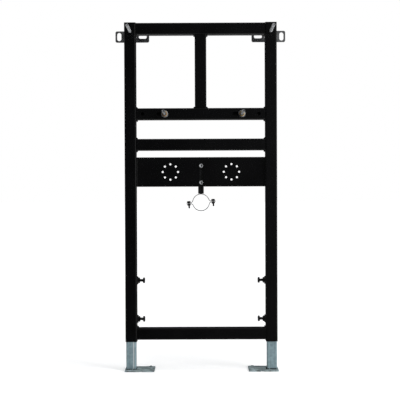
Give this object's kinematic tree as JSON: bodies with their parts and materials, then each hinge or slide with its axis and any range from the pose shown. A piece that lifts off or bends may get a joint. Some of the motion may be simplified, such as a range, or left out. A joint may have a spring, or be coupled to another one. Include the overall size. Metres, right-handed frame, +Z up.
{
  "type": "washbasin installation frame",
  "caption": "Welded square-tube steel frame that carries a wall-hung washbasin, with telescopic legs, wall brackets on threaded rods, a tap plate and a drain clamp.",
  "frame": {"origin": "on the floor, midway between the posts, in the plane of the front faces of the tubes, which is the middle of the bounding box", "axes": "+Z up, +X to the right as seen from the front, +Y towards the wall"},
  "size_m": [0.605, 0.28, 1.1997],
  "materials": {
    "black_paint": "fine-textured black powder coat",
    "black_plastic": "moulded black plastic",
    "black_steel": "black coated steel",
    "galvanised": "dull galvanised steel",
    "bright_zinc": "bright zinc plating",
    "yellow_zinc": "yellow-passivated zinc plating"
  },
  "bodies": {
    "frame": {"post_left": "black_paint", "post_right": "black_paint", "rail_top": "black_paint", "rail_basin": "black_paint", "rail_middle": "black_paint", "rail_bottom": "black_paint", "mullion": "black_paint", "tap_plate": "black_paint", "post_cap_left": "black_plastic", "post_cap_right": "black_plastic", "lock_nut_left_low": "black_paint", "lock_nut_left_high": "black_paint", "lock_nut_right_low": "black_paint", "lock_nut_right_high": "black_paint", "lock_bolt_left_low": "black_steel", "lock_bolt_left_high": "black_steel", "lock_bolt_right_low": "black_steel", "lock_bolt_right_high": "black_steel", "rod_nut_left": "black_paint", "rod_nut_right": "black_paint"},
    "left_leg": {"leg_left": "galvanised", "foot_left": "galvanised"},
    "right_leg": {"leg_right": "galvanised", "foot_right": "galvanised"},
    "left_anchor": {"wall_rod_left": "bright_zinc", "bracket_nut_left": "bright_zinc", "wall_bracket_left": "bright_zinc"},
    "right_anchor": {"wall_rod_right": "bright_zinc", "bracket_nut_right": "bright_zinc", "wall_bracket_right": "bright_zinc"},
    "left_stud": {"basin_stud_left": "bright_zinc", "basin_washer_left": "bright_zinc", "basin_nut_left": "yellow_zinc"},
    "right_stud": {"basin_stud_right": "bright_zinc", "basin_washer_right": "bright_zinc", "basin_nut_right": "yellow_zinc"},
    "drain_holder": {"drain_bar": "black_steel", "drain_bolt_upper": "bright_zinc", "drain_bolt_lower": "bright_zinc", "clamp_nut": "black_steel", "clamp_upper": "bright_zinc", "clamp_lower": "bright_zinc", "clamp_screw_left": "black_steel", "clamp_screw_right": "black_steel"}
  },
  "joints": [
    {"name": "leg_left_slide", "type": "slide", "parent": "frame", "child": "left_leg", "axis": [0, 0, -1], "range_m": [-0.085, 0.1]},
    {"name": "leg_right_slide", "type": "slide", "parent": "frame", "child": "right_leg", "axis": [0, 0, -1], "range_m": [-0.085, 0.1]},
    {"name": "anchor_left_slide", "type": "slide", "parent": "frame", "child": "left_anchor", "axis": [0, 1, 0], "range_m": [-0.07, 0.11]},
    {"name": "anchor_right_slide", "type": "slide", "parent": "frame", "child": "right_anchor", "axis": [0, 1, 0], "range_m": [-0.07, 0.11]},
    {"name": "stud_left_slide", "type": "slide", "parent": "frame", "child": "left_stud", "axis": [1, 0, 0], "range_m": [-0.021, 0.009]},
    {"name": "stud_right_slide", "type": "slide", "parent": "frame", "child": "right_stud", "axis": [1, 0, 0], "range_m": [-0.027, 0.0035]},
    {"name": "drain_slide", "type": "slide", "parent": "frame", "child": "drain_holder", "axis": [0, 0, 1], "range_m": [-0.004, 0.008]}
  ]
}
